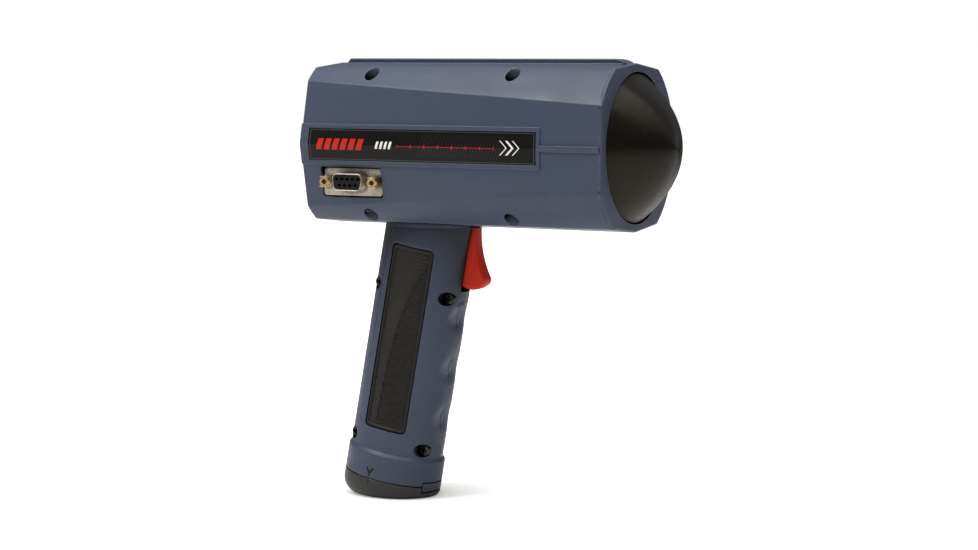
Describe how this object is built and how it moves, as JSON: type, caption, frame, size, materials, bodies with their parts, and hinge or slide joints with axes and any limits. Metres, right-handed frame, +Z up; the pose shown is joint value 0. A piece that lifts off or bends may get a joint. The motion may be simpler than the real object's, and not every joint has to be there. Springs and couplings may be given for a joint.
{
  "type": "speed radar gun",
  "caption": "Hand-held speed radar gun: faceted barrel with a domed lens, raked pistol handle with a trigger, side data socket, rear display and keys, and a slide-out battery base.",
  "frame": {"origin": "middle of the flat standing face under the base cap, on the gun's centre plane", "axes": "+X towards the muzzle and lens, +Y to the gun's left side, +Z up"},
  "size_m": [0.1707, 0.0767, 0.204],
  "materials": {
    "blue_case": "moulded blue-grey ABS, fine satin texture",
    "label_film": "glossy black film printed with red and grey bars and a thin red line",
    "black_panel": "moulded black, fine texture",
    "display_glass": "clear window over a grey-green display",
    "display_body": "display module",
    "circuit_board": "green solder mask",
    "soft_rubber": "black elastomer",
    "black_screw": "black-oxide steel screw",
    "brass_insert": "turned brass",
    "lens_plastic": "turned black-brown plastic, satin",
    "cast_horn": "machined aluminium",
    "plated_box": "plated cover",
    "sheet_metal": "formed sheet",
    "bright_screw": "zinc plated",
    "speaker_black": "moulded frame and cone",
    "plated_shell": "tin-plated pressed steel",
    "black_insulator": "glass-filled black moulding",
    "gold_contact": "gold-plated contact",
    "yellow_plated": "yellow-passivated jackscrew",
    "grip_rubber": "textured black rubber",
    "red_trigger": "moulded red",
    "steel_pin": "ground steel",
    "switch_plunger": "natural acetal",
    "battery_wrap": "black sleeve",
    "cell_can": "wrapped cell",
    "black_cap": "moulded black-brown, satin",
    "key_rubber": "moulded grey silicone"
  },
  "bodies": {
    "gun": {"upper_housing": "blue_case", "lower_housing": "blue_case", "front_ring": "blue_case", "handle_right": "blue_case", "handle_left": "blue_case", "side_label_right": "label_film", "side_label_left": "label_film", "rear_panel": "black_panel", "display_window": "display_glass", "display_module": "display_body", "display_board": "circuit_board", "keypad_mat": "soft_rubber", "upper_case_screws": "black_screw", "lower_case_screws": "black_screw", "rear_panel_screws": "black_screw", "handle_screws": "black_screw", "case_inserts": "brass_insert", "handle_inserts": "brass_insert", "lens": "lens_plastic", "lens_gasket": "soft_rubber", "horn_antenna": "cast_horn", "waveguide_flange": "cast_horn", "transceiver_module": "plated_box", "antenna_bracket": "sheet_metal", "chassis_plate": "sheet_metal", "main_board": "circuit_board", "board_spacers": "brass_insert", "board_screws": "bright_screw", "board_shield": "plated_box", "speaker": "speaker_black", "port_shell": "plated_shell", "port_insert": "black_insulator", "port_contacts": "gold_contact", "port_jackscrews": "yellow_plated", "grip_insert_right": "grip_rubber", "grip_insert_left": "grip_rubber", "trigger_pin": "steel_pin", "trigger_spring": "steel_pin", "trigger_switch": "black_insulator", "contact_board": "circuit_board", "contact_pins": "gold_contact"},
    "trigger": {"trigger": "red_trigger"},
    "plunger": {"switch_plunger": "switch_plunger"},
    "battery": {"battery_case": "battery_wrap", "battery_cells": "cell_can", "battery_contacts": "gold_contact", "battery_cap": "black_cap", "cap_seal": "soft_rubber", "latch_spring": "steel_pin"},
    "latch": {"battery_latch": "blue_case"},
    "key_power_cap": {"key_power": "key_rubber"},
    "key_mode_cap": {"key_mode": "key_rubber"},
    "key_light_cap": {"key_light": "key_rubber"},
    "key_down_cap": {"key_down": "key_rubber"},
    "key_menu_cap": {"key_menu": "key_rubber"},
    "key_up_cap": {"key_up": "key_rubber"}
  },
  "joints": [
    {"name": "trigger_pull", "type": "hinge", "parent": "gun", "child": "trigger", "pos_m": [0.03911, 0, 0.12099], "axis": [0, 1, 0], "range_deg": [0, 10], "stiffness_Nm_per_rad": 0.3, "springref_deg": -8.59},
    {"name": "plunger_press", "type": "slide", "parent": "gun", "child": "plunger", "axis": [-0.9848, 0, 0.1736], "range_m": [0, 0.0029]},
    {"name": "battery_slide", "type": "slide", "parent": "gun", "child": "battery", "axis": [-0.1736, 0, -0.9848], "range_m": [0, 0.1]},
    {"name": "latch_press", "type": "slide", "parent": "battery", "child": "latch", "axis": [-0.9848, 0, 0.1736], "range_m": [0, 0.0014], "stiffness_N_per_m": 1200, "springref_m": -0.0005},
    {"name": "key_power_press", "type": "slide", "parent": "gun", "child": "key_power_cap", "axis": [1, 0, 0], "range_m": [0, 0.0008], "stiffness_N_per_m": 1200, "springref_m": -0.0005},
    {"name": "key_mode_press", "type": "slide", "parent": "gun", "child": "key_mode_cap", "axis": [1, 0, 0], "range_m": [0, 0.0008], "stiffness_N_per_m": 1200, "springref_m": -0.0005},
    {"name": "key_light_press", "type": "slide", "parent": "gun", "child": "key_light_cap", "axis": [1, 0, 0], "range_m": [0, 0.0008], "stiffness_N_per_m": 1200, "springref_m": -0.0005},
    {"name": "key_down_press", "type": "slide", "parent": "gun", "child": "key_down_cap", "axis": [1, 0, 0], "range_m": [0, 0.0008], "stiffness_N_per_m": 1200, "springref_m": -0.0005},
    {"name": "key_menu_press", "type": "slide", "parent": "gun", "child": "key_menu_cap", "axis": [1, 0, 0], "range_m": [0, 0.0008], "stiffness_N_per_m": 1200, "springref_m": -0.0005},
    {"name": "key_up_press", "type": "slide", "parent": "gun", "child": "key_up_cap", "axis": [1, 0, 0], "range_m": [0, 0.0008], "stiffness_N_per_m": 1200, "springref_m": -0.0005}
  ],
  "couplings": [
    {"joint": "plunger_press", "follows": "trigger_pull", "m_per_rad": 0.016}
  ]
}
